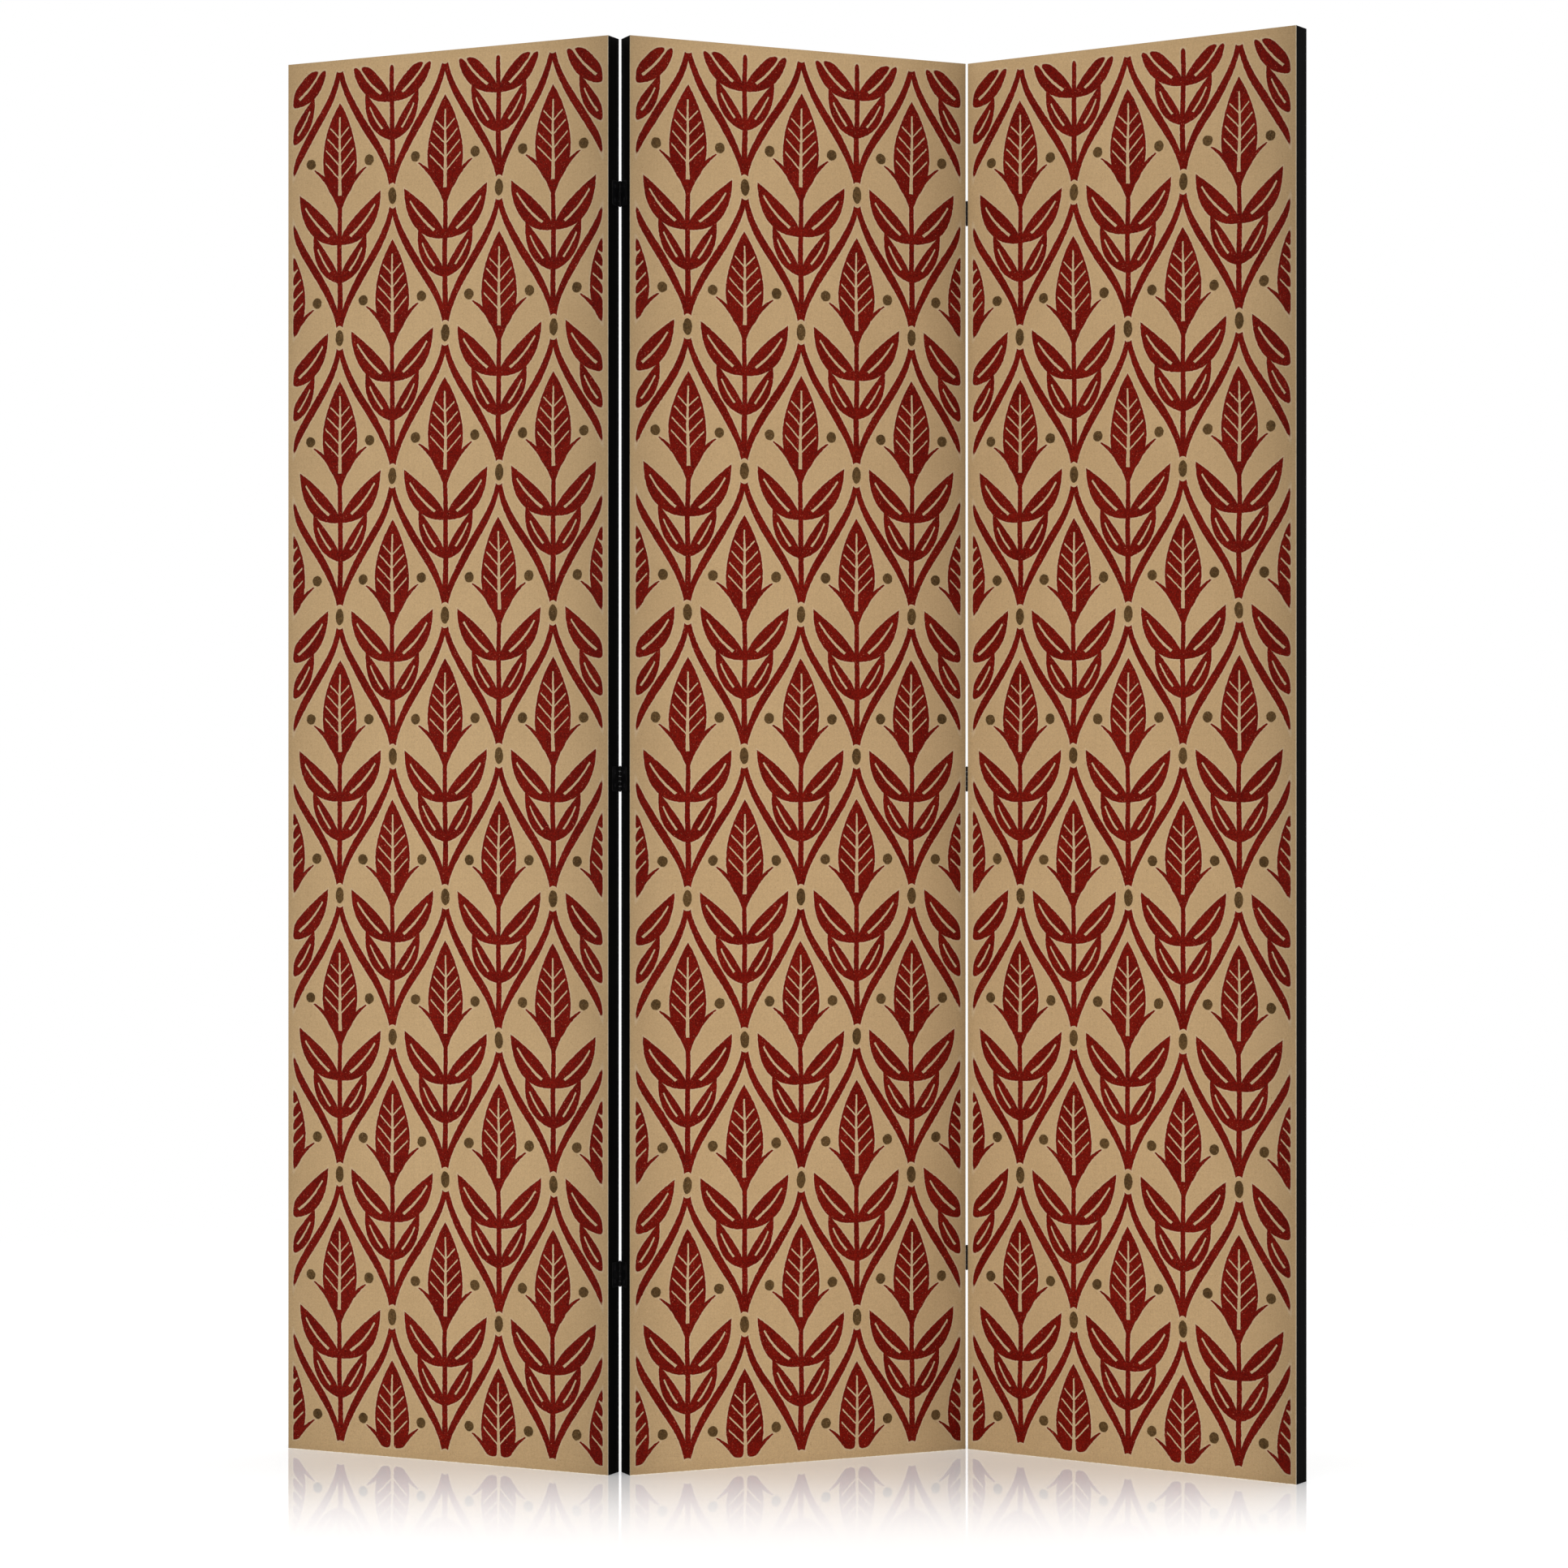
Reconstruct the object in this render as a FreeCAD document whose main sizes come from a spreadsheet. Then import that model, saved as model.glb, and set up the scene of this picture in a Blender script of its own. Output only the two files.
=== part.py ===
import FreeCAD, Part
import os
import re

import Sketcher

# Three-panel folding screen. Each panel is a glued pine frame with a printed canvas bonded to its front.
# Butt hinges between the side faces let the panels fold as a zigzag: the left fold has its pins at the
# rear faces, the right fold has them at the front faces.
# Row frame: +Z up, fronts towards -Y, origin on the floor at the middle of the standing screen.

SIZES = [
    # one panel, the same for all three
    ("panel_width", 450, "side to side"),
    ("panel_height", 1720, "floor to top"),
    ("panel_depth", 28, "canvas face to rear face"),
    ("canvas_thickness", 0.6, "printed canvas with its glue"),
    # frame bars
    ("stile_width", 38, "upright bars, seen from the rear"),
    ("rail_width", 38, "top and bottom bars, seen from the rear"),
    ("cross_rail_width", 30, "middle bars, seen from the rear"),
    ("cross_rail_setback", 3, "middle bars stand this far behind the canvas"),
    ("cross_rail_inset", 585, "nearer end of the panel to the bar's middle"),
    ("edge_round", 0.5, "rounding of the rear edges of the bars"),
    # dowels, two at each end of each rail
    ("dowel_diameter", 8, "beech dowel"),
    ("dowel_length", 40, "half in the stile, half in the rail"),
    ("dowel_chamfer", 1, "at both ends"),
    ("dowel_spacing", 16, "between the two dowels of one joint"),
    ("dowel_glue_gap", 0.1, "round the dowel"),
    ("dowel_end_room", 1, "beyond each end of the dowel"),
    # hinges
    ("bottom_hinge_inset", 238, "foot of the panel up to the hinge's middle"),
    ("middle_hinge_drop", 28, "middle of the panel down to the hinge's middle"),
    ("top_hinge_inset", 186, "top of the panel down to the hinge's middle"),
    ("hinge_height", 30, "leaf, top to bottom"),
    ("leaf_thickness", 0.5, "leaf plate and knuckle wall"),
    ("leaf_width", 18, "pin axis to the leaf's free edge"),
    ("leaf_corner_round", 2, "the leaf's two free corners"),
    ("knuckle_count", 5, "shared between the two leaves"),
    ("knuckle_gap", 0.2, "between neighbouring knuckles"),
    ("knuckle_relief", 0.1, "leaf cut back from the other leaf's knuckles"),
    ("pin_diameter", 1.3, "hinge pin"),
    ("pin_clearance", 0.05, "round the pin in its knuckles"),
    ("pin_head_diameter", 2.2, "rounded-over ends of the pin"),
    ("pin_head_height", 0.6, "rounded-over ends of the pin"),
    ("pin_end_gap", 0.1, "between a pin head and the end knuckle"),
    ("pin_proud", 0.3, "pin axis in front of the panel face that it stands at"),
    ("barrel_clearance", 0.1, "knuckles to the side face of a panel"),
    # screws, two in each leaf
    ("screw_head_diameter", 5, "countersunk at 90 degrees"),
    ("screw_shank_diameter", 2.6, "plain, in place of the thread"),
    ("screw_length", 16, "head face to tip"),
    ("screw_tip_length", 3, "pointed end"),
    ("screw_spacing", 16, "between the two screws of a leaf"),
    ("screw_inset", 11, "pin axis to the screws"),
    ("screw_clearance", 0.05, "round the screw"),
    ("screw_turn", 67, "each screw's cross is turned on from the last, in degrees"),
    ("recess_span", 2.8, "cross recess in the screw head"),
    ("recess_slot", 0.6, "cross recess in the screw head"),
    ("recess_depth", 0.5, "cross recess in the screw head"),
    # how the screen stands, in degrees from straight across
    ("left_panel_angle", 25.5, "the left panel comes forward to its hinges"),
    ("centre_panel_angle", 24.5, "the centre panel goes back from the left hinges"),
    ("right_panel_angle", 33.5, "the right panel comes forward from its hinges"),
]

doc = FreeCAD.newDocument("folding_screen")
sheet = doc.addObject("Spreadsheet::Sheet", "Sizes")
for row, (alias, value, note) in enumerate(SIZES, start=1):
    sheet.set(f"A{row}", alias)
    sheet.set(f"B{row}", str(value))
    sheet.set(f"C{row}", note)
    sheet.setAlias(f"B{row}", alias)
doc.recompute()

# Sizes that follow from the sheet, as expressions
frame_depth = "(panel_depth - canvas_thickness)"
rail_length = "(panel_width - 2 * stile_width)"
dowel_hole_diameter = "(dowel_diameter + 2 * dowel_glue_gap)"
dowel_hole_depth = "(dowel_length / 2 + dowel_end_room)"
barrel_radius = "(pin_diameter / 2 + pin_clearance + leaf_thickness)"
half_gap = f"({barrel_radius} + barrel_clearance)"
knuckle_total = "round(knuckle_count)"
knuckle_pitch = f"((hinge_height + knuckle_gap) / {knuckle_total})"
head_radius = "(screw_head_diameter / 2)"
screw_hole_diameter = "(screw_shank_diameter + 2 * screw_clearance)"
screw_hole_depth = "(screw_length - leaf_thickness + screw_clearance)"

along_x = FreeCAD.Vector(1, 0, 0)
along_y = FreeCAD.Vector(0, 1, 0)
along_z = FreeCAD.Vector(0, 0, 1)
same_point = 1e-6
z_to_x = FreeCAD.Rotation(along_z, along_x)

aliases = {alias for alias, value, note in SIZES}
hinge_heights = {
    "bottom": "bottom_hinge_inset",
    "middle": "(panel_height / 2 - middle_hinge_drop)",
    "top": "(panel_height - top_hinge_inset)",
}
rail_heights = {
    "bottom_rail": "rail_width / 2",
    "lower_cross_rail": "cross_rail_inset",
    "upper_cross_rail": "(panel_height - cross_rail_inset)",
    "top_rail": "(panel_height - rail_width / 2)",
}
subparts = []


def linked(text):
    """The expression with every size name pointing at its cell."""
    return re.sub(r"[a-z_]+", lambda word: f"Sizes.{word[0]}" if word[0] in aliases else word[0], text)


def number(text):
    """What an expression comes to."""
    return float(sheet.evalExpression(linked(text)))


def vector(x, y, z):
    return FreeCAD.Vector(number(x), number(y), number(z))


def bind(thing, **properties):
    for name, text in properties.items():
        thing.setExpression(name, linked(text))


def origin_feature(body, role):
    return next(feature for feature in body.Origin.OriginFeatures if feature.Role == role)


def add_sketch(body, plane, name, offset=None):
    """A sketch on one of the body's own planes, moved along the plane's normal by an expression."""
    sketch = body.newObject("Sketcher::SketchObject", name)
    sketch.AttachmentSupport = [(origin_feature(body, plane), "")]
    sketch.MapMode = "FlatFace"
    if offset:
        sketch.setExpression("AttachmentOffset.Base.z", linked(offset))
    return sketch


def locate(sketch, geometry, point, x, y):
    """Dimensions from the sketch's origin to one point of its geometry."""
    for kind, text in (("DistanceX", x), ("DistanceY", y)):
        index = sketch.addConstraint(Sketcher.Constraint(kind, -1, 1, geometry, point, number(text)))
        sketch.setExpression(f"Constraints[{index}]", linked(text))


def add_outline(sketch, points):
    """A closed outline of straight lines through points given as expressions."""
    corners = [vector(x, y, "0") for x, y in points]
    count = len(corners)
    first = sketch.GeometryCount
    for i in range(count):
        sketch.addGeometry(Part.LineSegment(corners[i], corners[(i + 1) % count]))
    for i in range(count):
        sketch.addConstraint(Sketcher.Constraint("Coincident", first + i, 2, first + (i + 1) % count, 1))
    for i, (x, y) in enumerate(points):
        locate(sketch, first + i, 1, x, y)


def add_box_outline(sketch, low_x, low_y, high_x, high_y):
    add_outline(sketch, [(low_x, low_y), (high_x, low_y), (high_x, high_y), (low_x, high_y)])


def add_circle(sketch, x, y, diameter):
    round_line = Part.Circle(vector(x, y, "0"), along_z, number(diameter) / 2)
    index = sketch.addGeometry(round_line)
    locate(sketch, index, 3, x, y)
    size = sketch.addConstraint(Sketcher.Constraint("Diameter", index, number(diameter)))
    sketch.setExpression(f"Constraints[{size}]", linked(diameter))


def add_pad(body, name, sketch, length, symmetric=False):
    pad = body.newObject("PartDesign::Pad", name)
    pad.Profile = sketch
    if symmetric:
        pad.SideType = "Symmetric"
    bind(pad, Length=length)


def add_pocket(body, name, sketch, depth, forwards=False):
    """A blind cut, which goes against the plane's normal unless it is forwards."""
    pocket = body.newObject("PartDesign::Pocket", name)
    pocket.Profile = sketch
    pocket.Reversed = forwards
    bind(pocket, Length=depth)


def add_cut_through(body, name, sketch):
    """A cut right through the body, both ways from the sketch."""
    pocket = body.newObject("PartDesign::Pocket", name)
    pocket.Profile = sketch
    pocket.SideType = "Symmetric"
    pocket.Type = "ThroughAll"


def add_turning(body, name, points):
    """A solid turned about Z, from half of its section."""
    sketch = add_sketch(body, "XZ_Plane", f"{name}_section")
    add_outline(sketch, points)
    turning = body.newObject("PartDesign::Revolution", name)
    turning.Profile = sketch
    turning.ReferenceAxis = (sketch, ["V_Axis"])
    turning.Angle = 360


def round_edges(body, direction, y, radius):
    """Rounds the straight edges that run in a direction and lie at a height y of the body's own axes."""
    doc.recompute()
    base = body.Tip
    names = []
    for index, edge in enumerate(base.Shape.Edges, start=1):
        start, end = edge.firstVertex().Point, edge.lastVertex().Point
        runs_so = (end - start).cross(direction).Length < same_point
        if runs_so and abs(start.y - number(y)) < same_point:
            names.append(f"Edge{index}")
    rounding = body.newObject("PartDesign::Fillet", "rounding")
    rounding.Base = (base, names)
    bind(rounding, Radius=radius)


def new_body(label):
    body = doc.addObject("PartDesign::Body", label)
    body.Label = label
    return body


def finish(thing, placement):
    thing.Placement = placement
    subparts.append(thing)


def copies(thing, placements):
    """Separate solids of the thing's shape, one at each placement."""
    doc.recompute()
    solids = []
    for placement in placements:
        solid = thing.Shape.copy()
        solid.Placement = placement
        solids.append(solid)
    return Part.makeCompound(solids)


def add_group(label, thing, placements, placement):
    group = doc.addObject("Part::Feature", label)
    group.Label = label
    group.Shape = copies(thing, placements)
    finish(group, placement)


# Panel pieces. A panel's own axes: X along it from its left edge, Y from the canvas face to the rear, Z up.
dowel_levels = []
for height in rail_heights.values():
    dowel_levels += [f"{height} - dowel_spacing / 2", f"{height} + dowel_spacing / 2"]


def panel_place(panel, x, y, z):
    return panel.multiply(FreeCAD.Placement(vector(x, y, z), FreeCAD.Rotation()))


def make_canvas(name, panel):
    canvas = doc.addObject("Part::Box", f"{name}_canvas")
    canvas.Label = f"{name}_canvas"
    bind(canvas, Length="panel_width", Width="canvas_thickness", Height="panel_height")
    finish(canvas, panel)


def make_stile(name, panel, side, screw_depth):
    """An upright bar, drawn from its outer face inwards. screw_depth is where its hinge screws enter, from
    the canvas face, or None where the stile carries no hinge."""
    inwards = 1 if side == "left" else -1
    inner_face = f"{inwards} * stile_width"
    body = new_body(f"{name}_{side}_stile")
    section = add_sketch(body, "XY_Plane", "section")
    add_box_outline(section, "0", "0", inner_face, frame_depth)
    add_pad(body, "bar", section, "panel_height")
    round_edges(body, along_z, frame_depth, "edge_round")

    dowel_marks = add_sketch(body, "YZ_Plane", "dowel_marks", inner_face)
    for level in dowel_levels:
        add_circle(dowel_marks, f"{frame_depth} / 2", level, dowel_hole_diameter)
    add_pocket(body, "dowel_holes", dowel_marks, dowel_hole_depth, forwards=inwards < 0)

    if screw_depth:
        screw_marks = add_sketch(body, "YZ_Plane", "screw_marks")
        for height in hinge_heights.values():
            for end in (-1, 1):
                level = f"{height} + {end} * screw_spacing / 2"
                add_circle(screw_marks, f"{screw_depth} - canvas_thickness", level, screw_hole_diameter)
        add_pocket(body, "screw_holes", screw_marks, screw_hole_depth, forwards=inwards > 0)
    edge = "0" if side == "left" else "panel_width"
    finish(body, panel_place(panel, edge, "canvas_thickness", "0"))


def make_rail(name, panel, piece, width, setback):
    """A bar between the stiles, drawn from its left end."""
    depth = f"({frame_depth} - {setback})"
    body = new_body(f"{name}_{piece}")
    section = add_sketch(body, "YZ_Plane", "section")
    add_box_outline(section, "0", f"-{width} / 2", depth, f"{width} / 2")
    add_pad(body, "bar", section, rail_length)
    round_edges(body, along_x, depth, "edge_round")
    for end, offset in (("left", None), ("right", rail_length)):
        marks = add_sketch(body, "YZ_Plane", f"{end}_dowel_marks", offset)
        for dowel in (-1, 1):
            level = f"{dowel} * dowel_spacing / 2"
            add_circle(marks, f"{frame_depth} / 2 - {setback}", level, dowel_hole_diameter)
        add_pocket(body, f"{end}_dowel_holes", marks, dowel_hole_depth, forwards=end == "left")
    finish(body, panel_place(panel, "stile_width", f"canvas_thickness + {setback}", rail_heights[piece]))


def make_dowel():
    """One dowel along Z, from which each panel's group is copied."""
    radius = "dowel_diameter / 2"
    shoulder = f"{radius} - dowel_chamfer"
    body = new_body("dowel")
    add_turning(body, "rod", [
        ("0", "-dowel_length / 2"),
        (shoulder, "-dowel_length / 2"),
        (radius, "-dowel_length / 2 + dowel_chamfer"),
        (radius, "dowel_length / 2 - dowel_chamfer"),
        (shoulder, "dowel_length / 2"),
        ("0", "dowel_length / 2"),
    ])
    return body


def make_dowel_group(name, panel, dowel):
    places = []
    for joint in ("stile_width", "panel_width - stile_width"):
        for level in dowel_levels:
            middle = vector(joint, f"canvas_thickness + {frame_depth} / 2", level)
            places.append(FreeCAD.Placement(middle, z_to_x))
    add_group(f"{name}_dowels", dowel, places, panel)


# Hinge pieces. A leaf's own axes: X from the pin axis towards its panel, Y out of the panel face that the
# barrel stands at, Z along the pin. The origin is on the pin axis at the middle of the hinge.
def knuckle_span(index):
    low = f"(-hinge_height / 2 + {index} * {knuckle_pitch})"
    return low, f"({low} + {knuckle_pitch} - knuckle_gap)"


def make_leaf(label, placement, other_knuckles):
    """A plate against the panel's side face, rolled into knuckles. other_knuckles are those of its mate."""
    inner = f"({half_gap} - leaf_thickness)"
    body = new_body(label)
    plate = add_sketch(body, "XY_Plane", "plate_section")
    add_outline(plate, [
        (inner, "-leaf_width"),
        (half_gap, "-leaf_width"),
        (half_gap, "-pin_proud"),
        (barrel_radius, "0"),
        (inner, "0"),
    ])
    add_pad(body, "plate", plate, "hinge_height", symmetric=True)
    round_edges(body, along_x, "-leaf_width", "leaf_corner_round")

    barrel = add_sketch(body, "XY_Plane", "barrel_section")
    add_circle(barrel, "0", "0", f"2 * {barrel_radius}")
    add_pad(body, "barrel", barrel, "hinge_height", symmetric=True)

    notches = add_sketch(body, "YZ_Plane", "notch_outlines")
    notch_edge = f"-sqrt(({barrel_radius} + knuckle_relief)^2 - {inner}^2)"
    for index in other_knuckles:
        low, high = knuckle_span(index)
        bottom = f"({low} - knuckle_gap)"
        top = f"({high} + knuckle_gap)"
        add_box_outline(notches, notch_edge, bottom, f"2 * {barrel_radius}", top)
    add_cut_through(body, "notches", notches)
    for index in other_knuckles:
        low, high = knuckle_span(index)
        room = body.newObject("PartDesign::SubtractiveCylinder", "knuckle_room")
        room.Placement = FreeCAD.Placement(vector("0", "0", f"{low} - knuckle_gap"), FreeCAD.Rotation())
        bind(
            room,
            Radius=f"{barrel_radius} + knuckle_relief",
            Height=f"{high} - {low} + 2 * knuckle_gap",
        )

    bore = add_sketch(body, "XY_Plane", "bore_section")
    add_circle(bore, "0", "0", "pin_diameter + 2 * pin_clearance")
    add_cut_through(body, "bore", bore)

    for end in (-1, 1):
        sink = body.newObject("PartDesign::SubtractiveCone", "countersink")
        centre = vector(inner, "-screw_inset", f"{end} * screw_spacing / 2")
        sink.Placement = FreeCAD.Placement(centre, z_to_x)
        bind(
            sink,
            Radius1=f"{head_radius} + screw_clearance",
            Radius2=f"{head_radius} - leaf_thickness + screw_clearance",
            Height="leaf_thickness",
        )
    finish(body, placement)


def make_pin(label, placement):
    end = "(hinge_height / 2 + pin_end_gap)"
    shank = "pin_diameter / 2"
    head = "pin_head_diameter / 2"
    body = new_body(label)
    add_turning(body, "pin", [
        ("0", f"-{end} - pin_head_height"),
        (shank, f"-{end} - pin_head_height"),
        (head, f"-{end} - pin_head_height / 2"),
        (head, f"-{end}"),
        (shank, f"-{end}"),
        (shank, end),
        (head, end),
        (head, f"{end} + pin_head_height / 2"),
        (shank, f"{end} + pin_head_height"),
        ("0", f"{end} + pin_head_height"),
    ])
    finish(body, placement)


def make_screw():
    """One screw along Z from its head's face, from which the groups are copied."""
    shank = "screw_shank_diameter / 2"
    body = new_body("screw")
    add_turning(body, "blank", [
        ("0", "0"),
        (head_radius, "0"),
        (f"{head_radius} - leaf_thickness", "leaf_thickness"),
        (shank, "leaf_thickness"),
        (shank, "screw_length - screw_tip_length"),
        ("0", "screw_length"),
    ])
    half_span = "recess_span / 2"
    half_slot = "recess_slot / 2"
    for arm, (across, up) in {"wide": (half_span, half_slot), "tall": (half_slot, half_span)}.items():
        slot = add_sketch(body, "XY_Plane", f"{arm}_slot_outline")
        add_box_outline(slot, f"-{across}", f"-{up}", across, up)
        add_pocket(body, f"{arm}_slot", slot, "recess_depth", forwards=True)
    return body


def make_screw_group(label, screw, hinge_frames):
    """Two screws in each leaf. A hinge frame is the placement of that leaf."""
    places = []
    for frame in hinge_frames:
        for end in (-1, 1):
            head = vector(f"{half_gap} - leaf_thickness", "-screw_inset", f"{end} * screw_spacing / 2")
            turn = FreeCAD.Rotation(along_z, number("screw_turn") * len(places))
            places.append(frame.multiply(FreeCAD.Placement(head, z_to_x.multiply(turn))))
    add_group(label, screw, places, FreeCAD.Placement())


# Where the panels stand
rear_axis_depth = "panel_depth + pin_proud"
front_axis_depth = "-pin_proud"
left_edge_axis = f"-{half_gap}"
right_edge_axis = f"panel_width + {half_gap}"


def stand(heading, own_point, place):
    """A panel turned to its heading, with one of its own points at a place on the floor."""
    turn = FreeCAD.Rotation(along_z, heading)
    return FreeCAD.Placement(place - turn.multVec(own_point), turn)


centre_heading = number("centre_panel_angle")
left_heading = -number("left_panel_angle")
right_heading = -number("right_panel_angle")

centre = FreeCAD.Placement(FreeCAD.Vector(), FreeCAD.Rotation(along_z, centre_heading))
left_axis = centre.multVec(vector(left_edge_axis, rear_axis_depth, "0"))
right_axis = centre.multVec(vector(right_edge_axis, front_axis_depth, "0"))
left = stand(left_heading, vector(right_edge_axis, rear_axis_depth, "0"), left_axis)
right = stand(right_heading, vector(left_edge_axis, front_axis_depth, "0"), right_axis)

# The floor that the panels cover: sharp front corners, and rear corners rounded about their own centres
footprint = FreeCAD.BoundBox()
rounding = vector("edge_round", "edge_round", "0")
for panel in (left, centre, right):
    for x in ("0", "panel_width"):
        footprint.add(panel.multVec(vector(x, "0", "0")))
    for x in ("edge_round", "panel_width - edge_round"):
        corner_centre = panel.multVec(vector(x, "panel_depth - edge_round", "0"))
        footprint.add(corner_centre - rounding)
        footprint.add(corner_centre + rounding)
to_middle = FreeCAD.Placement(-footprint.Center, FreeCAD.Rotation())
left, centre, right = [to_middle.multiply(panel) for panel in (left, centre, right)]
left_axis, right_axis = [to_middle.multVec(axis) for axis in (left_axis, right_axis)]

# The three panels
rear_screws = f"({rear_axis_depth} - screw_inset)"
front_screws = f"({front_axis_depth} + screw_inset)"
panels = {
    "left_panel": (left, {"left": None, "right": rear_screws}),
    "centre_panel": (centre, {"left": rear_screws, "right": front_screws}),
    "right_panel": (right, {"left": front_screws, "right": None}),
}
dowel = make_dowel()
for name, (panel, stiles) in panels.items():
    make_canvas(name, panel)
    for side, screw_depth in stiles.items():
        make_stile(name, panel, side, screw_depth)
    for piece in ("top_rail", "bottom_rail"):
        make_rail(name, panel, piece, "rail_width", "0")
    for piece in ("upper_cross_rail", "lower_cross_rail"):
        make_rail(name, panel, piece, "cross_rail_width", "cross_rail_setback")
    make_dowel_group(name, panel, dowel)


def leaf_frame(panel, axis, height, towards, outwards):
    """A leaf's own axes in the row frame. towards and outwards are +1 or -1 along the panel's X and Y."""
    x = panel.Rotation.multVec(along_x * towards)
    y = panel.Rotation.multVec(along_y * outwards)
    middle = axis + along_z * number(height)
    return FreeCAD.Placement(middle, FreeCAD.Rotation(x, y, x.cross(y), "ZXY"))


# The two folds. The leaf on the centre panel has the end knuckles, and the swinging leaf has those between.
# The swinging leaf's own Z points down, so it counts the knuckles from the other end.
folds = {
    "left_hinge": (left_axis, left, -1, 1),
    "right_hinge": (right_axis, right, 1, -1),
}
knuckles = range(round(number(knuckle_total)))
swing_knuckles = knuckles[1::2]
fixed_from_above = [knuckles[-1] - index for index in knuckles[0::2]]
screw = make_screw()
for name, (axis, outer_panel, towards, outwards) in folds.items():
    fixed_frames = []
    swing_frames = []
    for place, height in hinge_heights.items():
        fixed = leaf_frame(centre, axis, height, -towards, outwards)
        swing = leaf_frame(outer_panel, axis, height, towards, outwards)
        make_leaf(f"{name}_{place}_fixed_leaf", fixed, swing_knuckles)
        make_leaf(f"{name}_{place}_swing_leaf", swing, fixed_from_above)
        make_pin(f"{name}_{place}_pin", fixed)
        fixed_frames.append(fixed)
        swing_frames.append(swing)
    make_screw_group(f"{name}_fixed_screws", screw, fixed_frames)
    make_screw_group(f"{name}_swing_screws", screw, swing_frames)

doc.recompute()
faulty = [thing.Label for thing in doc.Objects if {"Invalid", "Error"} & set(thing.State)]
faulty += [thing.Label for thing in subparts if thing.Shape.isNull() or not thing.Shape.isValid()]
if faulty:
    raise RuntimeError(f"these did not build: {sorted(set(faulty))}")

os.makedirs("parts", exist_ok=True)
for thing in subparts:
    thing.Shape.exportStep(f"parts/{thing.Label}.step")

print(f"{len(subparts)} pieces written")
for name, axis in (("left", left_axis), ("right", right_axis)):
    print(f"{name} fold axis at x {axis.x:.4f}, y {axis.y:.4f}")
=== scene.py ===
import math

import bpy
from mathutils import Matrix, Vector


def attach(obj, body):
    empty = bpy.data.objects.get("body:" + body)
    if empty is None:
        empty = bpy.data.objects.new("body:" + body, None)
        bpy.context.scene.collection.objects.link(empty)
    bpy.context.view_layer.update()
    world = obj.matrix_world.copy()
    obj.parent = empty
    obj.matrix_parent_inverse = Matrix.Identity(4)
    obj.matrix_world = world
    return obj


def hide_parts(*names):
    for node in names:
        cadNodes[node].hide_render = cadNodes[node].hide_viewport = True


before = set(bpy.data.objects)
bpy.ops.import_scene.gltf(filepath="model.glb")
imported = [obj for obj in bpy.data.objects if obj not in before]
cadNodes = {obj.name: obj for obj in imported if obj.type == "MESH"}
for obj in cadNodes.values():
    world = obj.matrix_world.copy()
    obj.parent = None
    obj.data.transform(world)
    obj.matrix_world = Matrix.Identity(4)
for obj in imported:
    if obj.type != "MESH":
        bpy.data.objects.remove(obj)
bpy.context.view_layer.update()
print("frame loaded:", len(cadNodes), "nodes")


# small helpers for node trees

def tint(red, green, blue):
    # screen colour 0 to 255 as linear
    parts = []
    for part in (red, green, blue):
        level = part / 255
        if level <= 0.04045:
            parts.append(level / 12.92)
        else:
            parts.append(((level + 0.055) / 1.055) ** 2.4)
    return (*parts, 1.0)


def plug(tree, socket, value):
    if isinstance(value, Wire):
        tree.links.new(value.socket, socket)
    elif isinstance(value, bpy.types.NodeSocket):
        tree.links.new(value, socket)
    else:
        socket.default_value = value


class Wire:
    # a value in a node tree that can be added, multiplied and so on

    def __init__(self, tree, socket):
        self.tree = tree
        self.socket = socket

    def use(self, operation, *values):
        node = self.tree.nodes.new("ShaderNodeMath")
        node.operation = operation
        for socket, value in zip(node.inputs, (self,) + values):
            plug(self.tree, socket, value)
        return Wire(self.tree, node.outputs[0])

    def __add__(self, other):
        return self.use("ADD", other)

    def __sub__(self, other):
        return self.use("SUBTRACT", other)

    def __rsub__(self, other):
        return self.use("MULTIPLY_ADD", -1.0, other)

    def __mul__(self, other):
        return self.use("MULTIPLY", other)

    def __truediv__(self, other):
        return self.use("DIVIDE", other)

    def __abs__(self):
        return self.use("ABSOLUTE")

    def low(self, other):
        return self.use("MINIMUM", other)

    def high(self, other):
        return self.use("MAXIMUM", other)

    def wrap(self, period):
        return self.use("WRAP", period / 2, -period / 2)

    def step(self, start, end):
        # 0 at start, 1 at end, eased
        node = self.tree.nodes.new("ShaderNodeMapRange")
        node.interpolation_type = "SMOOTHSTEP"
        plug(self.tree, node.inputs["Value"], self)
        plug(self.tree, node.inputs["From Min"], start)
        plug(self.tree, node.inputs["From Max"], end)
        return Wire(self.tree, node.outputs["Result"])

    def mix(self, other, share):
        return self + (other - self) * share


def length2(one, two):
    return (one * one + two * two).use("SQRT")


def newGroup(name, inputs, outputs):
    # every socket is a number, apart from an input called Vector
    tree = bpy.data.node_groups.new(name, "ShaderNodeTree")
    for label in inputs:
        kind = "NodeSocketVector" if label == "Vector" else "NodeSocketFloat"
        tree.interface.new_socket(label, in_out="INPUT", socket_type=kind)
    for label in outputs:
        tree.interface.new_socket(label, in_out="OUTPUT", socket_type="NodeSocketFloat")
    entry = tree.nodes.new("NodeGroupInput")
    leave = tree.nodes.new("NodeGroupOutput")
    wires = {label: Wire(tree, entry.outputs[label]) for label in inputs}
    return tree, wires, leave


def place(tree, group, **values):
    node = tree.nodes.new("ShaderNodeGroup")
    node.node_tree = group
    for label, value in values.items():
        plug(tree, node.inputs[label], value)
    return {out.name: Wire(tree, out) for out in node.outputs}


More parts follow.
